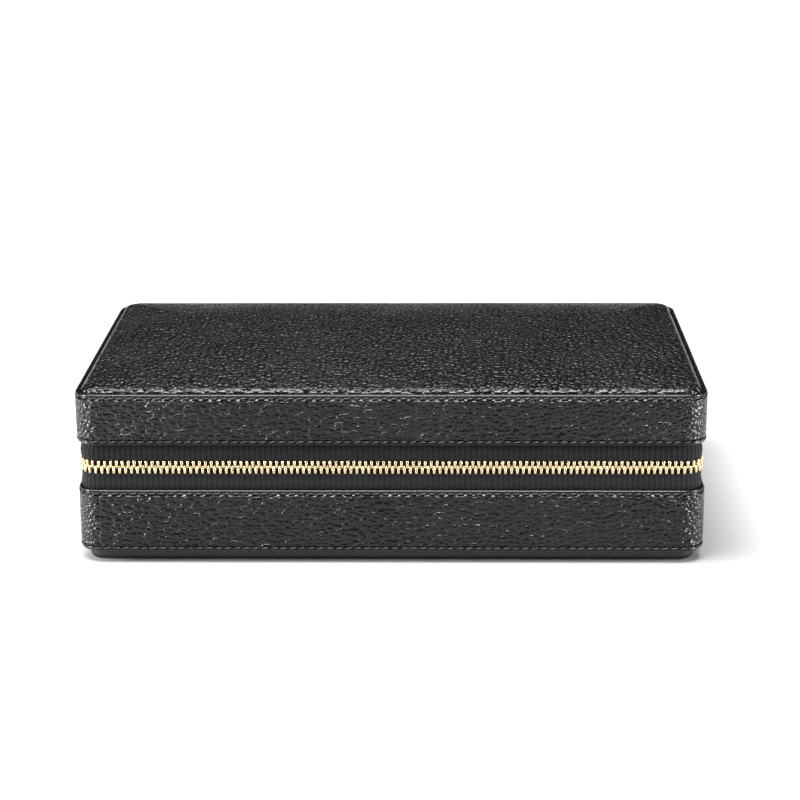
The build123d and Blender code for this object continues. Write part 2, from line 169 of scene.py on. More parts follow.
def mesh_piece(name, points, faces, uv=None, merge=0.0, marks=None):
    """A smooth object from points and faces, with an optional (u, v) and named numbers for each point."""
    mesh = bpy.data.meshes.new(name)
    mesh.from_pydata(np.asarray(points, float).reshape(-1, 3).tolist(), [], [list(f) for f in faces])
    if uv is not None:
        corner_of = np.zeros(len(mesh.loops), int)
        mesh.loops.foreach_get("vertex_index", corner_of)
        layer = mesh.uv_layers.new(name="UVMap")
        layer.data.foreach_set("uv", np.asarray(uv, float).reshape(-1, 2)[corner_of].ravel())
    for key, values in (marks or {}).items():
        layer = mesh.attributes.new(key, "FLOAT", "POINT")
        layer.data.foreach_set("value", np.asarray(values, np.float32).ravel())
    if merge:
        shape = bmesh.new()
        shape.from_mesh(mesh)
        bmesh.ops.remove_doubles(shape, verts=shape.verts, dist=merge)
        shape.to_mesh(mesh)
        shape.free()
    mesh.polygons.foreach_set("use_smooth", np.ones(len(mesh.polygons), bool))
    mesh.update()
    made = bpy.data.objects.new(name, mesh)
    bpy.context.scene.collection.objects.link(made)
    return made


def grid_piece(name, points, close_rows=False, close_columns=False, caps=False, uv=None, merge=0.0, marks=None):
    """A surface from a grid of points. With caps, the first and last rows are closed by one face each."""
    rows, columns = points.shape[:2]
    faces = grid_faces(rows, columns, close_rows, close_columns).tolist()
    if caps:
        faces.append(list(range(columns)))
        faces.append(list(range(rows * columns - 1, (rows - 1) * columns - 1, -1)))
    return mesh_piece(name, points, faces, uv, merge, marks)


def repeated(name, shape, faces, origins, frames):
    """Copies of one small shape: point = origin + frame @ shape point, for every origin and frame at once."""
    points = origins[:, None, :] + np.einsum("nij,mj->nmi", frames, shape)
    every = np.asarray(faces)[None] + (np.arange(len(origins)) * len(shape))[:, None, None]
    return mesh_piece(name, points, every.reshape(-1, np.shape(faces)[1]), merge=0.001 * MM)


def frames_at(along, inset, height):
    """Origins and frames on the outline for repeated(): x along it, y inwards, z up."""
    place, outward = outline(along)
    flat = place - inset * outward
    origins = np.column_stack([flat, np.full(len(flat), height)])
    zero, one = np.zeros(len(flat)), np.ones(len(flat))
    forward = np.column_stack([-outward[:, 1], outward[:, 0], zero])
    inward = np.column_stack([-outward, zero])
    return origins, np.stack([forward, inward, np.column_stack([zero, zero, one])], 2)


def dressed(made, body, material, slot, *nodes):
    """Gives a piece its material, and lets it ride on a body in the place of CAD nodes. The slot is not used."""
    made.data.materials.append(material)
    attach(made, body)
    if nodes:
        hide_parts(*nodes)
    print(f"{made.name}: {len(made.data.polygons)} faces on {body}")
    return made


# %% [markdown]
# ## A short way to wire materials
# A finish is a small graph of nodes. These helpers add a node, set its inputs and link it, so that each
# material below reads from top to bottom as a recipe.

# %% Node helpers
def new_material(name, values):
    """A node material whose Principled shader has these values on its own sockets."""
    made = bpy.data.materials.new(name)
    made.use_nodes = True
    shader = made.node_tree.nodes["Principled BSDF"]
    for key, value in values.items():
        shader.inputs[key].default_value = value
    return made, made.node_tree, shader


def node(tree, kind, inputs=None, **settings):
    """Adds a node; an input is a value or another node's output socket."""
    made = tree.nodes.new(kind)
    for key, value in settings.items():
        setattr(made, key, value)
    for key, value in (inputs or {}).items():
        if isinstance(value, bpy.types.NodeSocket):
            tree.links.new(value, made.inputs[key])
        else:
            made.inputs[key].default_value = value
    return made


def placed(tree, scale=(1, 1, 1), source="Object"):
    """Coordinates in metres, stretched by a scale."""
    where = node(tree, "ShaderNodeTexCoord").outputs[source]
    return node(tree, "ShaderNodeMapping", {"Vector": where, "Scale": scale}).outputs["Vector"]


def noise(tree, where, size, detail=3.0, rough=0.55):
    """A cloudy pattern whose lumps are about one size across, from 0 to 1."""
    values = {"Vector": where, "Scale": 1 / size, "Detail": detail, "Roughness": rough}
    return node(tree, "ShaderNodeTexNoise", values).outputs["Fac"]


def mapped(tree, value, from_low, from_high, to_low=0.0, to_high=1.0, soft=True):
    """Maps one range of values on to another, with a smooth step by default."""
    made = node(tree, "ShaderNodeMapRange", {"Value": value, "From Min": from_low, "From Max": from_high,
                                             "To Min": to_low, "To Max": to_high})
    made.interpolation_type = "SMOOTHSTEP" if soft else "LINEAR"
    return made.outputs["Result"]


def waves(tree, where, size, distortion, direction, **more):
    """Stripes that repeat at about one size, from 0 to 1."""
    values = {"Vector": where, "Scale": 1 / (2 * math.pi * size), "Distortion": distortion, **more}
    return node(tree, "ShaderNodeTexWave", values, bands_direction=direction).outputs["Fac"]


def sums(tree, operation, a, b):
    """a and b joined by one sum."""
    return node(tree, "ShaderNodeMath", {0: a, 1: b}, operation=operation).outputs[0]


def coloured(tree, shader, share, first, second):
    """Base colour = a mix of two colours, by a share from 0 to 1."""
    mix = node(tree, "ShaderNodeMix", {"Factor": share, 6: (*first, 1), 7: (*second, 1)}, data_type="RGBA")
    tree.links.new(mix.outputs[2], shader.inputs["Base Color"])


def bumped(tree, shader, height, depth, strength=1.0):
    """Lets a height pattern tilt the surface; depth is its real height in metres."""
    made = node(tree, "ShaderNodeBump", {"Height": height, "Distance": depth, "Strength": strength})
    tree.links.new(made.outputs["Normal"], shader.inputs["Normal"])


# %% [markdown]
# ## Pebbled leather
# Tumbled leather has a net of creases round small raised pebbles. Voronoi cells give the pebbles: the distance
# to a cell's centre makes a dome, and the narrow band along the cell's edge is the crease. The smooth kind of
# Voronoi rounds the valley between two domes, which keeps stray glints out of the creases. The coordinates are
# pushed about by a gentle noise first, so that the cells lose their straight edges: a strong push would fold the
# pattern over itself. Pebbles on a strip that was stretched as it was sewn round the case are longer along the
# strip, so the pattern can be stretched.

# %% Leather
def pebbled_leather(name, pebble, stretch, depth, gloss, marked=False):
    """Leather with pebbles about one size across, longer by a stretch along X and Y. Height = dome (1 -
    distance^2), different for each pebble, + crease + small pimples, all thinned out in slow clouds. A marked
    leather fades to smooth where the piece's own "grain" number falls to 0, as along a pressed edge."""
    made, tree, shader = new_material(name, {"IOR": 1.5})
    long = 1 / stretch
    where = placed(tree, (long, long, 1))
    push = node(tree, "ShaderNodeTexNoise", {"Vector": where, "Scale": 0.5 / pebble, "Detail": 2.0})
    push = node(tree, "ShaderNodeVectorMath", {0: push.outputs["Color"], 1: (0.5, 0.5, 0.5)},
                operation="SUBTRACT").outputs[0]
    push = node(tree, "ShaderNodeVectorMath", {0: push, "Scale": 0.55 * pebble}, operation="SCALE").outputs[0]
    where = node(tree, "ShaderNodeVectorMath", {0: where, 1: push}, operation="ADD").outputs[0]
    edge = node(tree, "ShaderNodeTexVoronoi", {"Vector": where, "Scale": 1 / pebble, "Randomness": 1.0},
                feature="DISTANCE_TO_EDGE").outputs["Distance"]
    crown = node(tree, "ShaderNodeTexVoronoi", {"Vector": where, "Scale": 1 / pebble, "Randomness": 1.0,
                                                "Smoothness": 0.30}, feature="SMOOTH_F1")
    small = node(tree, "ShaderNodeTexVoronoi", {"Vector": where, "Scale": 2.2 / pebble, "Randomness": 1.0})
    edge = mapped(tree, edge, 0.0, 0.22)
    dome = sums(tree, "SUBTRACT", 1.0, sums(tree, "POWER", crown.outputs["Distance"], 2.0))
    pimple = sums(tree, "SUBTRACT", 1.0, sums(tree, "POWER", small.outputs["Distance"], 2.0))
    each = node(tree, "ShaderNodeSeparateColor", {"Color": crown.outputs["Color"]}).outputs["Red"]
    each = mapped(tree, each, 0, 1, 0.75, 1.1, soft=False)
    cloud = mapped(tree, noise(tree, where, 6 * pebble), 0.3, 0.7, 0.85, 1.05)
    height = sums(tree, "ADD", sums(tree, "MULTIPLY", sums(tree, "MULTIPLY", dome, each), 0.9),
                  sums(tree, "MULTIPLY", edge, 0.05))
    height = sums(tree, "ADD", height, sums(tree, "MULTIPLY", pimple, 0.06))
    height = sums(tree, "MULTIPLY", height, cloud)
    if marked:
        grain = node(tree, "ShaderNodeAttribute", attribute_name="grain").outputs["Fac"]
        height = sums(tree, "MULTIPLY", height, mapped(tree, grain, 0, 1, 0.08, 1.0, soft=False))
    bumped(tree, shader, height, depth)
    # Painted shade: the base colour is darker in the creases, standing in for the shade that falls into them.
    coloured(tree, shader, edge, (0.0006, 0.0006, 0.0008), (0.0018, 0.0018, 0.0028))
    rough = mapped(tree, edge, 0.0, 1.0, gloss + 0.10, gloss, soft=False)
    rough = sums(tree, "ADD", rough, mapped(tree, noise(tree, where, 22 * pebble), 0.3, 0.7, -0.04, 0.05))
    tree.links.new(rough, shader.inputs["Roughness"])
    return made


TOP_LEATHER = pebbled_leather("top_leather", 1.6 * MM, 1.25, 1.35 * MM, 0.24, marked=True)
BAND_LEATHER = pebbled_leather("band_leather", 1.45 * MM, 1.5, 0.92 * MM, 0.23, marked=True)
SMALL_LEATHER = pebbled_leather("small_leather", 0.9 * MM, 1.2, 0.40 * MM, 0.3)
print("leathers made")


# %% [markdown]
# ## Other finishes
# The bottom panel is smooth leather with faint creases. The lining is microsuede, whose nap lies this way and
# that and so is patchy in tone. The zip's tape is a ribbed twill. The teeth and the slider are polished brass.

# %% Smooth leather, suede, tape, thread, brass, board and mirror
def smooth_leather():
    """Plain black leather: broad soft creases and a fine pore pattern."""
    made, tree, shader = new_material("smooth_leather", {})
    where = placed(tree)
    creases = noise(tree, placed(tree, (0.3, 0.3, 1)), 0.9 * MM, 5.0, 0.7)
    pores = noise(tree, where, 0.12 * MM, 2.0)
    bumped(tree, shader, sums(tree, "ADD", creases, sums(tree, "MULTIPLY", pores, 0.3)), 0.10 * MM, 0.6)
    coloured(tree, shader, creases, (0.004, 0.004, 0.005), (0.012, 0.012, 0.014))
    tree.links.new(mapped(tree, creases, 0.3, 0.7, 0.46, 0.36), shader.inputs["Roughness"])
    return made


def suede(name, dark, light):
    """Brushed nap: patches of two tones, a fine fuzz and a soft sheen at grazing angles."""
    made, tree, shader = new_material(name, {
        "Sheen Weight": 0.35, "Sheen Roughness": 0.45, "Sheen Tint": (1.0, 0.93, 0.85, 1),
        "Specular IOR Level": 0.15})
    where = placed(tree)
    patch = mapped(tree, noise(tree, where, 14 * MM, 3.0, 0.6), 0.35, 0.65)
    fuzz = noise(tree, where, 0.22 * MM, 4.0, 0.7)
    tone = sums(tree, "ADD", sums(tree, "MULTIPLY", patch, 0.34), sums(tree, "MULTIPLY", fuzz, 0.66))
    coloured(tree, shader, tone, dark, light)
    tree.links.new(mapped(tree, fuzz, 0.2, 0.8, 0.98, 0.82), shader.inputs["Roughness"])
    bumped(tree, shader, fuzz, 0.09 * MM, 0.8)
    return made


def ribbed_tape():
    """Twill on the tape's own UV map, in metres: ribs across the tape with a finer diagonal."""
    made, tree, shader = new_material("zip_tape_weave", {"Sheen Weight": 0.03, "Specular IOR Level": 0.25})
    where = placed(tree, source="UV")
    ribs = waves(tree, where, 0.95 * MM, 0.4, "X", Detail=1.0)
    turned = node(tree, "ShaderNodeMapping", {"Vector": where, "Rotation": (0, 0, 0.9)}).outputs["Vector"]
    twill = waves(tree, turned, 0.42 * MM, 0.6, "Y")
    weave = sums(tree, "ADD", sums(tree, "MULTIPLY", ribs, 0.6), sums(tree, "MULTIPLY", twill, 0.4))
    fibres = noise(tree, where, 0.1 * MM, 3.0)
    bumped(tree, shader, sums(tree, "ADD", weave, sums(tree, "MULTIPLY", fibres, 0.2)), 0.30 * MM)
    coloured(tree, shader, weave, (0.001, 0.001, 0.0015), (0.005, 0.005, 0.0065))
    tree.links.new(mapped(tree, weave, 0, 1, 0.85, 0.62), shader.inputs["Roughness"])
    return made


def thread():
    """Waxed black thread: a little glossy, with its twist as slanting bands."""
    made, tree, shader = new_material("waxed_thread", {})
    twist = waves(tree, placed(tree, (1, 1, 1.6)), 0.5 * MM, 1.0, "DIAGONAL")
    bumped(tree, shader, twist, 0.05 * MM, 0.7)
    coloured(tree, shader, twist, (0.006, 0.006, 0.007), (0.018, 0.018, 0.020))
    tree.links.new(mapped(tree, twist, 0, 1, 0.36, 0.24), shader.inputs["Roughness"])
    return made


def brass():
    """Pale polished brass with faint rub marks."""
    made, tree, shader = new_material("pale_brass", {"Metallic": 1.0})
    rubs = noise(tree, placed(tree, (1, 1, 4)), 0.5 * MM, 4.0, 0.65)
    tone = noise(tree, placed(tree), 6 * MM, 2.0)
    coloured(tree, shader, tone, (0.78, 0.60, 0.33), (0.90, 0.76, 0.50))
    tree.links.new(mapped(tree, rubs, 0.3, 0.75, 0.18, 0.36), shader.inputs["Roughness"])
    bumped(tree, shader, rubs, 0.02 * MM, 0.4)
    return made


def board():
    """Grey pressed board with paper fibres."""
    made, tree, shader = new_material("grey_board", {})
    fibres = noise(tree, placed(tree, (0.3, 0.3, 2.0)), 0.6 * MM, 5.0, 0.7)
    coloured(tree, shader, fibres, (0.16, 0.15, 0.14), (0.34, 0.32, 0.29))
    tree.links.new(mapped(tree, fibres, 0.2, 0.8, 0.95, 0.8), shader.inputs["Roughness"])
    bumped(tree, shader, fibres, 0.08 * MM, 0.6)
    return made


def silvered_glass():
    """A mirror with the faintest haze."""
    made, tree, shader = new_material("silvered_glass", {"Metallic": 1.0})
    haze = noise(tree, placed(tree), 30 * MM, 3.0)
    coloured(tree, shader, haze, (0.86, 0.88, 0.88), (0.93, 0.94, 0.94))
    tree.links.new(mapped(tree, haze, 0.3, 0.8, 0.015, 0.035), shader.inputs["Roughness"])
    return made


PLAIN_LEATHER, TAPE, THREAD = smooth_leather(), ribbed_tape(), thread()
SUEDE = suede("lining_suede", (0.22, 0.17, 0.125), (0.44, 0.36, 0.28))
BRASS, BOARD, MIRROR = brass(), board(), silvered_glass()
print("finishes:", sorted(m.name for m in bpy.data.materials))


# %% [markdown]
# ## The sewn bands
# A band is a flat strip of leather. Its cut edges are rounded, and each row of stitches pulls the leather in, so
# that it dips along the row and swells a little between the rows. Its profile is a loop of (inset, height):
# up the outside, over, down the inside and back. Carrying it round the outline makes the whole band.

# %% Bands
STITCH_PITCH = 3.26 * MM
STITCH_COUNT = round(ROUND / STITCH_PITCH)
STITCH_FROM_EDGE = 1.35 * MM
DIP, DIP_REACH, SWELL, LUMPS = 0.38 * MM, 0.42 * MM, 0.16 * MM, 0.07 * MM
FINE = stations(0.8 * MM)


def lumps(along, height, seed):
    """A slow unevenness of hand-laid leather: a sum of a few waves along and up the strip, from -1 to 1."""
    draw = np.random.default_rng(seed)
    total = 0.0
    for cycles in (5, 9, 14, 23):
        phase, tilt = draw.uniform(0, 2 * np.pi), draw.uniform(40, 160)
        total = total + np.sin(2 * np.pi * cycles * along / ROUND + tilt * height + phase)
    return total / 4


def band(name, low, high, seed):
    """The strip's outer face is inset = dips at the stitch rows - swell between them + lumps, and its rounded
    edges turn in by a quarter circle."""
    edge = 0.85 * MM
    turn = np.linspace(np.pi / 2, 0, 8)
    up = np.linspace(low + edge, high - edge, 44)
    outside = np.column_stack([edge - edge * np.cos(turn), low + edge - edge * np.sin(turn)])
    over = np.column_stack([outside[::-1, 0], low + high - outside[::-1, 1]])
    inside = np.array([[BAND, high], [BAND, low]])
    loop = np.concatenate([outside[:-1], np.column_stack([0 * up, up]), over[1:], inside])
    along, height = FINE[:, None], loop[None, :, 1]
    phase = 2 * np.pi * STITCH_COUNT * along / ROUND
    pull = 0.75 + 0.25 * np.cos(phase)
    dip = np.exp(-(((height - low - STITCH_FROM_EDGE) / DIP_REACH) ** 2))
    dip = dip + np.exp(-(((height - high + STITCH_FROM_EDGE) / DIP_REACH) ** 2))
    share = (height - low) / (high - low)
    swell = np.sin(np.pi * np.clip(share, 0, 1)) ** 0.6
    shown = loop[None, :, 0] < 0.9 * BAND
    inset = DIP * dip * pull - SWELL * swell + LUMPS * lumps(along, height, seed) * swell
    profile = np.stack([loop[None, :, 0] + inset * shown, height + 0 * along], 2)
    from_edge = np.minimum(height - low, high - height) / STITCH_FROM_EDGE
    grain = np.clip((from_edge - 1.0) / 0.7, 0, 1) + 0 * along
    points = carried(profile, FINE)
    return grid_piece(name, points, close_rows=True, close_columns=True, marks={"grain": grain})


for body, low, high, seed in (("lid", LID_LOW[2], LID_HIGH[2], 3), ("base", BASE_LOW[2], BASE_HIGH[2], 5)):
    made = band(f"{body}_band_leather", low, high, seed)
    dressed(made, body, BAND_LEATHER, "grained_leather", f"{body}_band")


# %% [markdown]
# ## Stitches
# Each stitch is a short thread that comes up at one hole and goes down at the next, so it is a slim bead, thick
# in the middle, lying in the dip. It slants a little, because each hole was cut at a slant.

# %% Stitch rows
def bead(length, thick, rise, slant, around=6, steps=7):
    """A slim bead along x: t = sin of an even angle, radius = cos of it ^ 0.5, all turned by a slant."""
    angle = np.linspace(-np.pi / 2, np.pi / 2, steps)[:, None]
    turn = -np.linspace(0, 2 * np.pi, around, endpoint=False)[None, :]
    t, radius = np.sin(angle), np.cos(angle) ** 0.5
    x, y, z = length / 2 * t + 0 * turn, rise * radius * np.cos(turn), thick * radius * np.sin(turn)
    x, z = x * np.cos(slant) - z * np.sin(slant), x * np.sin(slant) + z * np.cos(slant)
    return np.stack([x, y, z], 2).reshape(-1, 3), grid_faces(steps, around, close_columns=True)


def stitch_row(name, height, body):
    """A bead in every stitch hole all the way round."""
    along = (np.arange(STITCH_COUNT) + 0.5) * ROUND / STITCH_COUNT
    shape, faces = bead(2.5 * MM, 0.36 * MM, 0.34 * MM, 0.12)
    made = repeated(name, shape, faces, *frames_at(along, 0.06 * MM, height))
    return dressed(made, body, THREAD, "grained_leather")


for body, low, high in (("lid", LID_LOW[2], LID_HIGH[2]), ("base", BASE_LOW[2], BASE_HIGH[2])):
    stitch_row(f"{body}_stitches_upper", high - STITCH_FROM_EDGE, body)
    stitch_row(f"{body}_stitches_lower", low + STITCH_FROM_EDGE, body)


# %% [markdown]
# ## The padded top
# The top is a thin cushion: leather over foam, folded down into a groove just inside the rim. Its profile rises
# steeply out of the groove, turns over in a tight roll, and climbs gently to the middle. The rings of the panel
# follow the outline near the edge, then shrink on to the middle line, where they meet.

# %% Padded top panel
def panel_rings(inset, insets, shares, along):
    """Rings of a panel: offsets of the outline by inset + each of insets, then rings that shrink on to the
    middle line by shares from 0 to 1. Returns the points in plan and each ring's distance from the edge."""
    place, outward = outline(along)
    edge = place[None] - (inset + np.asarray(insets))[:, None, None] * outward[None]
    last = edge[-1]
    reach = np.abs(last[:, 1]).max()
    middle = np.column_stack([np.clip(last[:, 0], -np.abs(last[:, 0]).max() + reach,
                                      np.abs(last[:, 0]).max() - reach), 0 * last[:, 1]])
    shares = np.asarray(shares)[:, None, None]
    inner = (1 - shares) * last[None] + shares * middle[None]
    distance = np.concatenate([np.asarray(insets), insets[-1] + shares[:, 0, 0] * reach])
    return np.concatenate([edge, inner]), distance


def padded_top():
    """Height = a quarter-ellipse roll out of the groove, then a slow rise of 1 - exp(-distance), plus unevenness
    of the foam. Underneath, the same rings lie flat at the groove's bottom and close the cushion. Also returns
    the grain, which is pressed almost smooth in the fold and full on top."""
    groove = low_high("lid_top_leather")[0][2]
    sunk, roll_top, roll_width = 0.7 * MM, LID_HIGH[2] + 1.15 * MM, 1.8 * MM
    crown, crown_reach = 2.0 * MM, 15 * MM
    insets = np.array([0, 0, 0.03, 0.1, 0.22, 0.4, 0.65, 0.95, 1.3, 1.8, 2.4, 3.1, 4.0, 5.0, 6.2]) * MM
    shares = np.linspace(0, 1, 30)[1:]
    plan, distance = panel_rings(BAND + 0.28 * MM, insets, shares, FINE)
    share = np.clip(1 - distance / roll_width, 0, 1)
    height = LID_HIGH[2] - sunk + (roll_top - LID_HIGH[2] + sunk) * np.sqrt(1 - share**2)
    height = height + crown * (1 - np.exp(-distance / crown_reach))
    x, y = plan[..., 0], plan[..., 1]
    uneven = np.sin(70 * x + 1.3) * np.sin(55 * y + 0.4) + 0.6 * np.sin(150 * x - 40 * y)
    uneven = uneven + 0.4 * np.sin(210 * x + 90 * y)
    full = (1 - np.exp(-distance / (6 * MM)))[:, None]
    z = height[:, None] + 0.11 * MM * uneven * full
    points = np.concatenate([plan, z[..., None]], 2)
    under = np.concatenate([plan[::-6], plan[:1]])
    under = np.concatenate([under, np.full(under[..., :1].shape, groove)], 2)
    grain = np.concatenate([np.zeros(len(under)), np.clip((distance[1:] / MM - 0.4) / 1.4, 0.3, 1)])
    points = np.concatenate([under, points[1:]]).transpose(1, 0, 2)
    return points, grain[None] + 0 * points[..., 0]


grid, grain = padded_top()
top_panel = grid_piece("lid_top_panel", grid, close_rows=True, merge=0.02 * MM, marks={"grain": grain})
dressed(top_panel, "lid", TOP_LEATHER, "grained_leather", "lid_top_leather", "lid_top_foam")


# %% [markdown]
# ## Zip tapes
# Each tape comes out from under its band, swells outwards, and turns back to the chain, where a cord is woven
# into its edge for the teeth to grip. The profile is a loop round the tape's thickness, and the weave follows a
# UV map measured in metres along and across it.

# %% Tapes
TAPE_MIDDLE = BAND + 0.35 * MM
TAPE_BACK = low_high("base_zip_tape")[1][1]
RIGHT_END = STRAIGHT_X + TURN + HALF_DEPTH - CORNER + TAPE_BACK
LEFT_START = -(TURN + HALF_DEPTH - CORNER + TAPE_BACK)
RIPPLE, RIPPLE_LENGTH = 0.10 * MM, 23 * MM


def tape_profile(upper):
    """The tape's middle line as (inset, distance from the chain's middle): smooth between a few places."""
    reach = [0.95, 1.6, 2.3, 2.75, 3.3, 4.2, 5.6, 7.0, 8.1, 9.2, 12.6]
    inset = [1.85, 1.85, 1.80, 1.40, 1.35, 1.15, 1.15, 1.60, 2.00, 2.00, 1.95] if upper else \
        [1.85, 1.85, 1.85, 1.55, 1.50, 1.45, 1.20, 1.05, 1.35, 1.85, 1.85]
    fine = np.linspace(reach[0], reach[-1], 40)
    line = np.interp(fine, reach, inset)
    line = np.convolve(np.pad(line, 2, mode="edge"), np.ones(5) / 5, mode="valid")
    return line * MM, fine * MM


def zip_tape(name, upper):
    """Half the thickness = 0.26 mm + a cord of 0.22 mm near the teeth's heels; the free part ripples a little."""
    line, reach = tape_profile(upper)
    cord = np.exp(-(((reach - 2.95 * MM) / (0.28 * MM)) ** 2))
    half = (0.26 + 0.22 * cord) * MM
    along = np.linspace(LEFT_START, RIGHT_END, 520)
    side = 1 if upper else -1
    ripple = np.sin(2 * np.pi * along / RIPPLE_LENGTH)
    free = np.sin(np.pi * (reach - reach[0]) / (reach[-1] - reach[0]))
    wave = RIPPLE * ripple[:, None] * free[None, :]
    outer = np.stack([line[None] - half[None] + wave, MIDDLE_Z + side * reach[None] + 0 * wave], 2)
    inner = np.stack([line[None] + half[None] + wave, MIDDLE_Z + side * reach[None] + 0 * wave], 2)
    loop = np.concatenate([outer, inner[:, ::-1]], 1) if upper else np.concatenate([inner, outer[:, ::-1]], 1)
    points = carried(loop, along)
    across = loop[..., 1]
    uv = np.stack([np.broadcast_to(along[:, None], across.shape), across], 2)
    return grid_piece(name, points, close_columns=True, caps=True, uv=uv)


for body, upper in (("lid", True), ("base", False)):
    dressed(zip_tape(f"{body}_tape", upper), body, TAPE, "zip_tape", f"{body}_zip_tape")


# %% [markdown]
# ## Zip teeth
# A tooth is a small brass clamp with a rounded head. Two rows mesh at the middle of the chain, half a pitch apart.
# A superellipsoid is a box with soft corners, from one formula, so two small grids make a tooth's leg and head,
# and the pair is repeated along the outline.

# %% Teeth
TOOTH_PITCH = 2.07 * MM
STOP_LENGTH = 1.8 * MM
FIRST_TOOTH = STOP_LENGTH + TOOTH_PITCH
TOOTH_COUNT = 210


def signed_power(value, power):
    """|value| ^ power with the value's own sign."""
    return np.sign(value) * np.abs(value) ** power


def soft_box(half, softness, around=8, steps=7):
    """A superellipsoid: (cos a cos b, cos a sin b, sin a), each part to the power softness."""
    rise = np.linspace(-np.pi / 2, np.pi / 2, steps)[:, None]
    turn = -np.linspace(0, 2 * np.pi, around, endpoint=False)[None, :] - np.pi / around
    x = signed_power(np.cos(rise), softness) * signed_power(np.cos(turn), softness)
    y = signed_power(np.cos(rise), softness) * signed_power(np.sin(turn), softness)
    z = signed_power(np.sin(rise), softness) + 0 * turn
    points = np.stack([x * half[0], y * half[1], z * half[2]], 2).reshape(-1, 3)
    return points, grid_faces(steps, around, close_columns=True)


def tooth_row(name, upper, body):
    """Teeth at even steps along the tape's middle line; the lower row is half a pitch further on."""
    run = FIRST_TOOTH + np.arange(TOOTH_COUNT) * TOOTH_PITCH + (0 if upper else TOOTH_PITCH / 2)
    start = -(np.pi / 2 * (CORNER - TAPE_MIDDLE)) - (HALF_DEPTH - CORNER + TAPE_BACK - STOP_LENGTH)
    along = outer_distance(start + run)
    leg, leg_faces = soft_box((0.46 * MM, 1.12 * MM, 1.06 * MM), 0.22)
    head, head_faces = soft_box((0.52 * MM, 0.86 * MM, 0.46 * MM), 0.4, steps=5)
    leg[:, 2] += 1.27 * MM
    head[:, 2] += 0.05 * MM
    flip = 1 if upper else -1
    shape = np.concatenate([leg, head]) * np.array([1, 1, flip])
    faces = np.concatenate([leg_faces, head_faces + len(leg)])
    if not upper:
        faces = faces[:, ::-1]
    made = repeated(name, shape, faces, *frames_at(along, TAPE_MIDDLE, MIDDLE_Z))
    return dressed(made, body, BRASS, "brass", f"{body}_zip_teeth")


def outer_distance(inner):
    """Distance along the outline for a distance along the tape's middle line, which is shorter at corners."""
    scale = (CORNER - TAPE_MIDDLE) / CORNER
    knots_outer = np.cumsum([-TURN - STRAIGHT_Y, STRAIGHT_Y, TURN, STRAIGHT_X, TURN, STRAIGHT_Y])
    steps = np.diff(knots_outer) * np.array([1, scale, 1, scale, 1])
    knots_inner = np.concatenate([[0], np.cumsum(steps)])
    return np.interp(inner, knots_inner - knots_inner[2], knots_outer)


tooth_row("lid_teeth", True, "lid")
tooth_row("base_teeth", False, "base")


# %% [markdown]
# ## The leather hinge
# One strip of leather joins the lid and the base along the back and a little way round the corners. It bends
# when the lid opens; here it is one fixed shape that rides on neither body.

# %% Back strip
def hinge_strip():
    """A thin strip, slightly hollow between the bands, with faint folds: inset = band + hollow, where hollow =
    0.5 mm * sin^2 of the height's share + a small wave."""
    low, high = low_high("back_hinge")
    up = np.linspace(low[2], high[2], 40)
    share = (up - low[2]) / (high[2] - low[2])
    hollow = 0.5 * MM * np.sin(np.pi * share) ** 2 + 0.12 * MM * np.cos(2 * np.pi * 5 * share)
    outer = np.column_stack([BAND + hollow, up])
    inner = np.column_stack([BAND + hollow + 0.9 * MM, up])
    loop = np.concatenate([outer, inner[::-1]])
    past = HALF_DEPTH - CORNER - (TAPE_BACK + 0.3 * MM)
    along = np.linspace(BACK_START - TURN - past, BACK_START + STRAIGHT_X + TURN + past, 300)
    points = carried(loop, along)
    full = np.ones(points.shape[:2])
    return grid_piece("hinge_leather", points, close_columns=True, caps=True, marks={"grain": full})


strip = hinge_strip()
strip.data.materials.append(TOP_LEATHER)
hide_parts("back_hinge")
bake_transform(strip)


# %% [markdown]
# ## The linings
# Each half of the case holds a tray of card covered in microsuede. Its profile goes up the outside, over a
# soft rim, down the inside, round a fold and across the floor to the middle line.

# %% Lining trays
COARSE = stations(2.2 * MM)


def lining(name, node_name, upward):
    """A tray: the rim is a half circle and the fold a quarter; the floor's rings shrink on to the middle line,
    above and below."""
    low, high = low_high(node_name)
    inset = HALF_WIDTH - high[0]
    rim, floor = (high[2], low[2] + 1.0 * MM) if upward else (low[2], high[2] - 1.0 * MM)
    back = low[2] if upward else high[2]
    way = 1 if upward else -1
    turn = np.linspace(0, np.pi, 9)
    half, fold = 0.5 * MM, 1.6 * MM
    over = np.column_stack([inset + half - half * np.cos(turn), rim - way * (half - half * np.sin(turn))])
    corner = np.linspace(0, np.pi / 2, 7)
    inwards, upwards = fold * (1 - np.cos(corner)), fold * (1 - np.sin(corner))
    down = np.column_stack([inset + 2 * half + inwards, floor + way * upwards])
    profile = np.concatenate([[[inset, back]], over, down])
    wall = carried(profile, COARSE).transpose(1, 0, 2)
    plan, _ = panel_rings(0, [profile[-1, 0]], np.linspace(0, 1, 14)[1:], COARSE)
    floor_rings = np.concatenate([plan, np.full(plan[..., :1].shape, floor)], 2)[1:]
    under = np.concatenate([plan, np.full(plan[..., :1].shape, back)], 2)[::-1]
    points = np.concatenate([under, wall, floor_rings]).transpose(1, 0, 2)
    if not upward:
        points = points[::-1]
    return grid_piece(name, points, close_rows=True, merge=0.02 * MM)


for body, upward in (("base", True), ("lid", False)):
    tray = lining(f"{body}_lining_suede", f"{body}_lining", upward)
    dressed(tray, body, SUEDE, "lining", f"{body}_lining")


# %% [markdown]
# ## Soft blocks
# Dividers and the hook rail are boards wrapped in cloth, and the mirror is a thin plate, all with soft edges. A
# point on a plain box is drawn in to a smaller box, then pushed out by a radius: that rounds every edge at once.

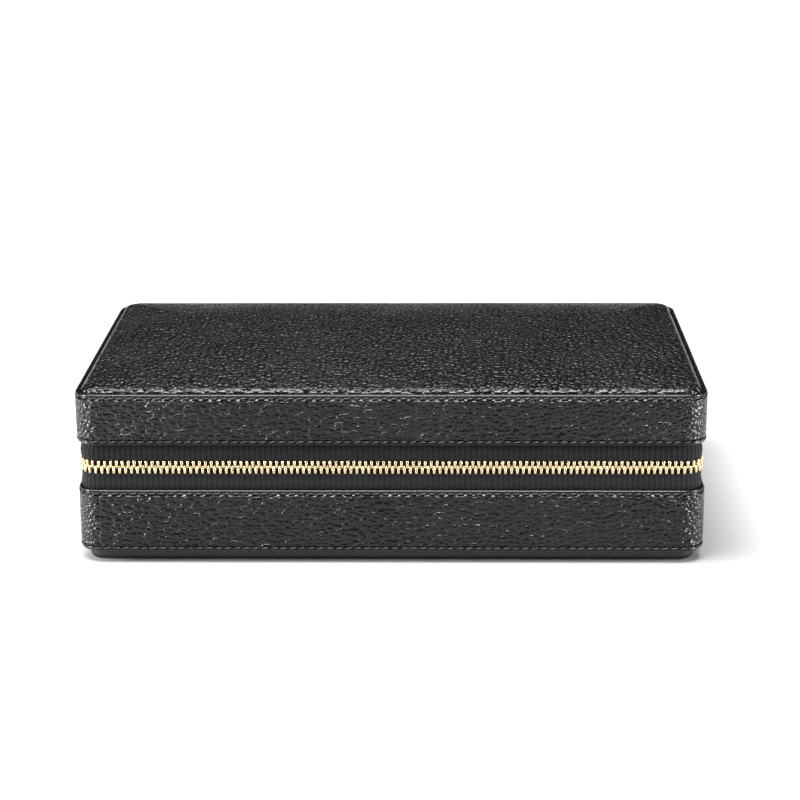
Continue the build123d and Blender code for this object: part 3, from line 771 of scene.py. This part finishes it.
# %% Wrapped boards
def wrapped_block(name, low, high, radius, step):
    """core = the box shrunk by the radius; point = nearest core point + radius * direction away from it."""
    size = high - low
    counts = np.clip(np.round(size / step).astype(int), 4, 60)
    sides = []
    for axis in range(3):
        a, b = [k for k in range(3) if k != axis]
        ends = []
        for k in (a, b):
            inner = np.linspace(radius, size[k] - radius, counts[k])
            edge = radius * (1 - np.cos(np.linspace(0, np.pi / 2, 4)[:-1]))
            ends.append(np.concatenate([edge, inner, size[k] - edge[::-1]]))
        grid_a, grid_b = np.meshgrid(*ends, indexing="ij")
        for end in (0, 1):
            side = np.zeros(grid_a.shape + (3,))
            side[..., a], side[..., b], side[..., axis] = grid_a, grid_b, end * size[axis]
            outwards = (end == 1) == (axis != 1)
            sides.append(side if outwards else side[:, ::-1])
    points = np.concatenate([s.reshape(-1, 3) for s in sides])
    offsets = np.cumsum([0] + [s.shape[0] * s.shape[1] for s in sides[:-1]])
    faces = np.concatenate([grid_faces(*s.shape[:2]) + o for s, o in zip(sides, offsets)])
    core = np.clip(points, radius, size - radius)
    away = points - core
    length = np.linalg.norm(away, axis=1, keepdims=True)
    points = core + radius * away / np.maximum(length, 1e-9)
    return mesh_piece(name, points + low, faces, merge=0.01 * MM)


for node_name in ("ring_divider", "cross_divider", "cell_divider_1", "cell_divider_2"):
    low, high = low_high(node_name)
    divider = wrapped_block(node_name + "_suede", low, high, 1.0 * MM, 6 * MM)
    dressed(divider, "base", SUEDE, "lining", node_name)

low, high = low_high("hook_rail")
dressed(wrapped_block("hook_rail_suede", low, high, 1.4 * MM, 6 * MM), "lid", SUEDE, "lining", "hook_rail")


# %% [markdown]
# ## Ring rolls
# A ring roll is a foam bar sewn into suede, with gathered ends. Rings stand in the valleys between the rolls.
# The radius is full along the roll and turns over quickly at its ends, where the gathers show.

# %% Ring rolls
def ring_roll(name, low, high, seed):
    """radius = (1 - |t|^8)^(1/3), with gathers near the ends; the underside is flat where the roll rests."""
    centre, half = (low + high) / 2, (high - low) / 2
    t = np.sin(np.linspace(-np.pi / 2, np.pi / 2, 44))[:, None]
    turn = -np.linspace(0, 2 * np.pi, 48, endpoint=False)[None, :]
    draw = np.random.default_rng(seed)
    radius = (1 - np.abs(t) ** 8 + 1e-9) ** (1 / 3)
    near_end = np.clip((np.abs(t) - 0.80) / 0.2, 0, 1) ** 1.5
    radius = radius * (1 + 0.035 * near_end * np.cos(11 * turn + draw.uniform(0, 6)))
    radius = radius * (1 - 0.012 + 0.012 * np.sin(7 * t + draw.uniform(0, 6)) * np.cos(turn))
    x = centre[0] + half[0] * t + 0 * turn
    y = centre[1] + half[1] * radius * np.cos(turn)
    z = centre[2] + np.maximum(half[2] * radius * np.sin(turn), -0.94 * half[2]) - 0.05 * half[2]
    points = np.stack([x, y, z], 2)
    return grid_piece(name, points, close_columns=True, caps=True)


for number in range(1, 8):
    low, high = low_high(f"ring_roll_{number}")
    roll = ring_roll(f"ring_roll_{number}_suede", low, high, number)
    dressed(roll, "base", SUEDE, "lining", f"ring_roll_{number}")


# %% [markdown]
# ## The mirror
# The mirror sits in a leather-wrapped frame. The frame is a profile carried round a smaller rounded rectangle:
# the same idea as the bands, with its own outline.

# %% Mirror and frame
def small_outline(half, radius, count):
    """Points round a rounded rectangle centred on the origin: point = corner centre + radius * direction. The
    directions step evenly round each corner, and the faces between two corners make the straights."""
    corner = np.linspace(0, np.pi / 2, count)
    angle = np.concatenate([corner + k * np.pi / 2 for k in range(4)])
    outward = np.stack([np.cos(angle), np.sin(angle)], 1)
    quarter = np.repeat(np.arange(4), count)
    signs = np.array([[1, 1], [-1, 1], [-1, -1], [1, -1]])[quarter]
    return signs * (np.asarray(half) - radius) + radius * outward


def picture_frame(name, low, high, border):
    """Profile: a soft half round from the outer edge to the mirror's edge."""
    centre, half = (low + high) / 2, (high - low) / 2
    outer = small_outline(half[:2], 5 * MM, 10)
    turn = np.linspace(0, np.pi, 15)
    depth = (high[2] - low[2]) * np.sin(turn) ** 0.5
    profile = np.column_stack([border / 2 * (1 - np.cos(turn)), high[2] - depth])
    inner = small_outline(half[:2] - border, 0.6 * MM, 10)
    share = (profile[:, 0] / border)[None, :, None]
    flat = outer[:, None] * (1 - share) + inner[:, None] * share + centre[:2]
    points = np.concatenate([flat, np.broadcast_to(profile[None, :, 1:], flat.shape[:2] + (1,))], 2)
    return grid_piece(name, points[::-1], close_rows=True, close_columns=True)


low, high = low_high("mirror_frame")
glass_low, glass_high = low_high("mirror_glass")
mirror_frame = picture_frame("mirror_frame_leather", low, high, glass_low[0] - low[0])
dressed(mirror_frame, "lid", SMALL_LEATHER, "grained_leather", "mirror_frame")
mirror_plate = wrapped_block("mirror_plate", glass_low, glass_high, 0.3 * MM, 12 * MM)
dressed(mirror_plate, "lid", MIRROR, "mirror", "mirror_glass")


# %% [markdown]
# ## Necklace hooks
# A hook is a bent wire with a small ball at its tip. A tube follows a path: rings of points stand square to it.

# %% Hooks
def tube(name, path, radii, around=14):
    """Rings square to a path in the YZ plane: point = path + radius * (cos * sideways + sin * across)."""
    path, radii = np.asarray(path), np.asarray(radii)
    way = np.gradient(path, axis=0)
    way = way / np.linalg.norm(way, axis=1, keepdims=True)
    sideways = np.broadcast_to(np.array([1.0, 0, 0]), way.shape)
    across = np.cross(way, sideways)
    turn = -np.linspace(0, 2 * np.pi, around, endpoint=False)
    ring = np.cos(turn)[None, :, None] * sideways[:, None] + np.sin(turn)[None, :, None] * across[:, None]
    return grid_piece(name, path[:, None] + radii[:, None, None] * ring, close_columns=True, caps=True)


WIRE, BALL, FLARE, BEND = 0.8 * MM, 1.2 * MM, 1.5 * MM, 2.0 * MM


def hook_path(low, high):
    """Down the stem, round a quarter circle, out to the tip and on through the ball. The ball is a run of
    places y = centre + ball * cos(angle), each with the radius ball * sin(angle)."""
    x, y, z = (low[0] + high[0]) / 2, high[1] - FLARE, low[2] + BALL
    stem = np.linspace(high[2], z + BEND, 6)
    turn = np.linspace(0, np.pi / 2, 9)[1:]
    angle = np.linspace(np.arcsin(WIRE / BALL), np.pi - 0.08, 9)
    ball = low[1] + BALL + BALL * np.cos(angle)
    tip = np.linspace(y - BEND, ball[0], 6)[1:-1]
    ys = np.concatenate([0 * stem + y, y - BEND + BEND * np.cos(turn), tip, ball])
    zs = np.concatenate([stem, z + BEND - BEND * np.sin(turn), 0 * tip + z, 0 * ball + z])
    radii = np.concatenate([np.full(len(ys) - len(ball), WIRE), BALL * np.sin(angle)])
    radii[:2] = FLARE, 0.5 * (FLARE + WIRE)
    return np.column_stack([0 * ys + x, ys, zs]), radii


for number in range(1, 5):
    hook = tube(f"necklace_hook_{number}_wire", *hook_path(*low_high(f"necklace_hook_{number}")))
    dressed(hook, "lid", BRASS, "brass", f"necklace_hook_{number}")


# %% [markdown]
# ## The gathered pocket
# The lid's pocket is a piece of suede sewn down on three sides, with its free edge gathered on elastic. The cloth
# stands away from the lid between its sewn edges, and falls in pleats that are deepest at the free edge.

# %% Pocket
def pocket_surface(low, high):
    """Height below the lid = depth * side * reach, with pleats that grow towards the free edge. u runs across
    and v runs from the sewn edge at the back to the free edge at the front."""
    u = np.linspace(0, 1, 181)[:, None]
    v = np.linspace(0, 1, 40)[None, :]
    draw = np.random.default_rng(11)
    side = np.clip(np.sin(np.pi * np.clip(u, 1e-4, 1 - 1e-4)), 0, 1) ** 0.28
    reach = 1 - (1 - v) ** 2.2
    phase = 2 * np.pi * 19 * u + 0.8 * np.sin(2 * np.pi * 3 * u + 1.0) + 0.5 * np.sin(2 * np.pi * 7 * u)
    strength = v**2 * (0.75 + 0.25 * np.sin(2 * np.pi * 5 * u + draw.uniform(0, 6)))
    pleats = 0.72 * MM * np.cos(phase) * strength * side
    depth = (high[2] - low[2]) - 0.9 * MM
    z = high[2] - 0.35 * MM - depth * side * reach + pleats
    x = low[0] + (high[0] - low[0]) * u + 0 * v
    y = high[1] + (low[1] + 3 * MM - high[1]) * v + 0 * u
    return np.stack([x, y, z], 2)


low, high = low_high("lid_pocket")
cloth = pocket_surface(low, high)
pocket = grid_piece("pocket_cloth", cloth)
thick = pocket.modifiers.new("thick", "SOLIDIFY")
thick.thickness, thick.offset = 0.6 * MM, 0.0
dressed(pocket, "lid", SUEDE, "lining", "lid_pocket")


# %% [markdown]
# ## The pocket's elastic
# Elastic in a hem draws the free edge together. A loop of points set round every point of the cloth's own edge
# follows each pleat exactly, which a separate curve would not, and it ruffles a little itself.

# %% Gathered edge
def gathered_edge(free_edge):
    """A soft flat tube along the cloth's free edge: a loop of (along y, along z) round every edge point."""
    turn = -np.linspace(0, 2 * np.pi, 16, endpoint=False)
    ruffle = 1 + 0.10 * np.cos(2 * np.pi * 57 * np.linspace(0, 1, len(free_edge)))
    flat, thick = 3.0 * MM * signed_power(np.cos(turn), 0.7), 0.8 * MM * signed_power(np.sin(turn), 0.7)
    loop = np.stack([0 * turn, flat, thick], 1)
    return free_edge[:, None] + loop[None] * ruffle[:, None, None]


free_edge = cloth[:, -1]
halves = np.empty((2 * len(free_edge) - 1, 3))
halves[::2], halves[1::2] = free_edge, (free_edge[:-1] + free_edge[1:]) / 2
binding = grid_piece("pocket_binding", gathered_edge(halves), close_columns=True, caps=True)
dressed(binding, "lid", SUEDE, "elastic", "pocket_elastic")


# %% [markdown]
# ## Parts that keep their CAD shape
# The bottom panel, the boards, the zip's stops, the slider and its pull are already the right shape, so only
# their materials change.

# %% Materials for the CAD nodes
CAD_FINISH = {
    "bottom_panel": PLAIN_LEATHER, "base_board": BOARD, "lid_board": BOARD, "base_zip_end_stop": BRASS,
    "lid_zip_end_stop": BRASS, "zip_bottom_stop": BRASS, "zip_slider": BRASS, "pull_loop": BRASS,
    "pull_tab": SMALL_LEATHER,
}
for name, finish in CAD_FINISH.items():
    shown = frame["nodes"][name]
    shown.data.materials.clear()
    shown.data.materials.append(finish)
print(len(CAD_FINISH), "CAD nodes dressed")


# %% [markdown]
# ## Floor
# The case stands on a plain white floor. A floor lit by lamps alone turns grey far from them, so this one also
# glows there, and the case's soft shadow falls where it doesn't.

# %% Floor
def studio_floor():
    """A wide pale sheet that glows where the lamps don't reach, so that it stays white up to the horizon: behind,
    far out at both sides and in front, and a little beside the case."""
    made = grid_piece("studio_floor", np.array([[[-4, -4, 0], [-4, 4, 0]], [[4, -4, 0], [4, 4, 0]]], float))
    finish, tree, shader = new_material("studio_white", {
        "Base Color": (0.35, 0.35, 0.35, 1), "Roughness": 0.9, "Specular IOR Level": 0.0,
        "Emission Color": (1, 1, 1, 1)})
    place = node(tree, "ShaderNodeSeparateXYZ", {"Vector": placed(tree)}).outputs
    aside = sums(tree, "ABSOLUTE", place["X"], 0)
    glow = sums(tree, "MAXIMUM", mapped(tree, place["Y"], 0.10, 0.45), mapped(tree, aside, 0.15, 0.45))
    glow = sums(tree, "MAXIMUM", glow, mapped(tree, place["Y"], -0.30, -0.75))
    # Painted light: beside the case the floor glows, which thins the case's shadow at its left and shortens it at
    # its right.
    glow = sums(tree, "MAXIMUM", glow, mapped(tree, place["X"], 0.112, 0.150, 0.0, 0.42))
    glow = sums(tree, "MAXIMUM", glow, mapped(tree, place["X"], -0.090, -0.130, 0.0, 0.6))
    tree.links.new(glow, shader.inputs["Emission Strength"])
    made.data.materials.append(finish)


studio_floor()


# %% [markdown]
# ## Sky and lights
# A dark glossy thing is drawn by what it mirrors, so the sky is white only to the camera. A long softbox above
# and in front draws the bright lines along the rim, the fold and the bands' edges. A key from the left throws the
# soft shadow, a weak light from behind opens the top, and a strip at each side catches the rounded corners.

# %% Sky and lights
def sky():
    """White to the camera, and almost black to everything that it lights."""
    world = bpy.data.worlds.new("studio")
    bpy.context.scene.world = world
    world.use_nodes = True
    tree = world.node_tree
    back = tree.nodes["Background"]
    seen = node(tree, "ShaderNodeLightPath").outputs["Is Camera Ray"]
    back.inputs["Color"].default_value = (1, 1, 1, 1)
    strength = mapped(tree, seen, 0, 1, 0.03, 1.1, soft=False)
    tree.links.new(strength, back.inputs["Strength"])


def softbox(name, place, aim, size, power):
    """A rectangular light that faces a point."""
    data = bpy.data.lights.new(name, "AREA")
    data.shape, data.size, data.size_y, data.energy = "RECTANGLE", size[0], size[1], power
    lamp = bpy.data.objects.new(name, data)
    lamp.location = place
    lamp.rotation_euler = (Vector(aim) - Vector(place)).to_track_quat("-Z", "Y").to_euler()
    bpy.context.scene.collection.objects.link(lamp)


sky()
softbox("key", (-0.60, -0.10, 1.10), (0, 0, 0.03), (0.35, 0.35), 7)
softbox("over", (0.0, -0.30, 1.05), (0, 0, 0.06), (0.85, 0.3), 24)
softbox("back", (0.0, 0.85, 0.95), (0, 0, 0.06), (0.8, 0.25), 2.6)
softbox("left_strip", (-0.95, -0.30, 0.25), (0, 0, 0.03), (0.2, 0.5), 16)
softbox("right_strip", (0.95, -0.30, 0.25), (0, 0, 0.03), (0.2, 0.5), 14)
bpy.context.scene.view_settings.view_transform = "Standard"


# %% [markdown]
# ## Camera
# The case is seen from the front and a little above, through a long lens that keeps its proportions natural. The
# camera's axes could come from Euler angles; worked out as three directions, they show what each angle does.

# %% Camera
def camera():
    """A long lens a little above the case: forward, right and up are worked out from yaw, pitch and roll."""
    yaw, pitch, roll = math.radians(-1.02), math.radians(16.19), math.radians(-0.27)
    ahead = Vector((math.sin(yaw) * math.cos(pitch), math.cos(yaw) * math.cos(pitch), -math.sin(pitch)))
    right = Vector((math.cos(yaw), -math.sin(yaw), 0))
    up = right.cross(ahead)
    right, up = math.cos(roll) * right + math.sin(roll) * up, -math.sin(roll) * right + math.cos(roll) * up
    data = bpy.data.cameras.new("camera")
    data.lens, data.sensor_width = 100.8, 36
    data.clip_start, data.clip_end = 0.01, 50
    made = bpy.data.objects.new("camera", data)
    turned = Matrix((right, up, -ahead)).transposed().to_4x4()
    made.matrix_world = Matrix.Translation((0.0166, -0.8071, 0.2751)) @ turned
    bpy.context.scene.collection.objects.link(made)
    bpy.context.scene.camera = made


camera()
